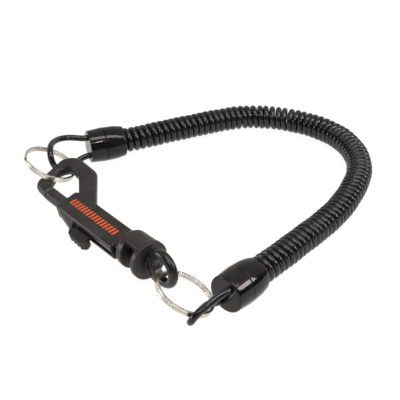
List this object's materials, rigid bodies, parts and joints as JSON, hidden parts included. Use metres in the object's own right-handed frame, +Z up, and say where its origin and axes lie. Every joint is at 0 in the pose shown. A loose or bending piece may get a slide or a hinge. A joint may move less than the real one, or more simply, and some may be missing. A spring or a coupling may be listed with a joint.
{
  "type": "coiled safety tether with snap hook",
  "caption": "Springy coiled plastic cord between barrel end caps, with cord loops, split rings and a spring bolt snap hook with a swivel eye clipped across its ends.",
  "frame": {"origin": "on the surface the tether lies on, under the middle of the caps, rings and hook, without the cord", "axes": "+Z up from the surface; the hook runs from rear left (-X +Y) to front (+X -Y) and the coil arches out to +X"},
  "size_m": [0.1315, 0.136, 0.0153],
  "materials": {
    "cord": "glossy extruded polyurethane",
    "cap": "polished moulded",
    "crimp": "plain pressed",
    "ring": "polished nickel plate on spring steel",
    "hook": "satin moulded",
    "gate": "satin moulded",
    "spring": "drawn wire",
    "swivel": "smooth moulded"
  },
  "bodies": {
    "tether": {"coil_cord": "cord", "rear_loop_cord": "cord", "front_loop_cord": "cord", "rear_cap_nose": "cap", "rear_cap_tail": "cap", "front_cap_nose": "cap", "front_cap_tail": "cap", "rear_crimp_sleeve": "crimp", "front_crimp_sleeve": "crimp"},
    "rear_ring": {"rear_split_ring": "ring"},
    "front_ring": {"front_split_ring": "ring"},
    "hook": {"hook_body": "hook", "gate_spring": "spring"},
    "gate": {"gate_bolt": "gate", "thumb_knob": "gate"},
    "swivel": {"swivel_eye": "swivel"}
  },
  "joints": [
    {"name": "rear_ring_swing", "type": "hinge", "parent": "tether", "child": "rear_ring", "pos_m": [-0.0356, 0.0347, 0.0121], "axis": [0.14, -0.9781, -0.154], "range_deg": [-5, 0]},
    {"name": "front_ring_swing", "type": "hinge", "parent": "tether", "child": "front_ring", "pos_m": [0.019, -0.05465, 0.0038], "axis": [-0.3882, 0.8884, 0.2451], "range_deg": [-3, 3]},
    {"name": "hook_swing", "type": "hinge", "parent": "tether", "child": "hook", "pos_m": [-0.033, 0.01595, 0.0091], "axis": [0.6369, -0.7709, -0.012], "range_deg": [0, 3]},
    {"name": "gate_slide", "type": "slide", "parent": "hook", "child": "gate", "axis": [0.6481, -0.7615, 0], "range_m": [0, 0.0094], "stiffness_N_per_m": 120, "springref_m": -0.008, "deforming": ["gate_spring"]},
    {"name": "swivel_turn", "type": "hinge", "parent": "hook", "child": "swivel", "pos_m": [0.00447, -0.02888, 0.007], "axis": [0.6457, -0.7586, 0.0872], "range_deg": [-15, 8]}
  ]
}
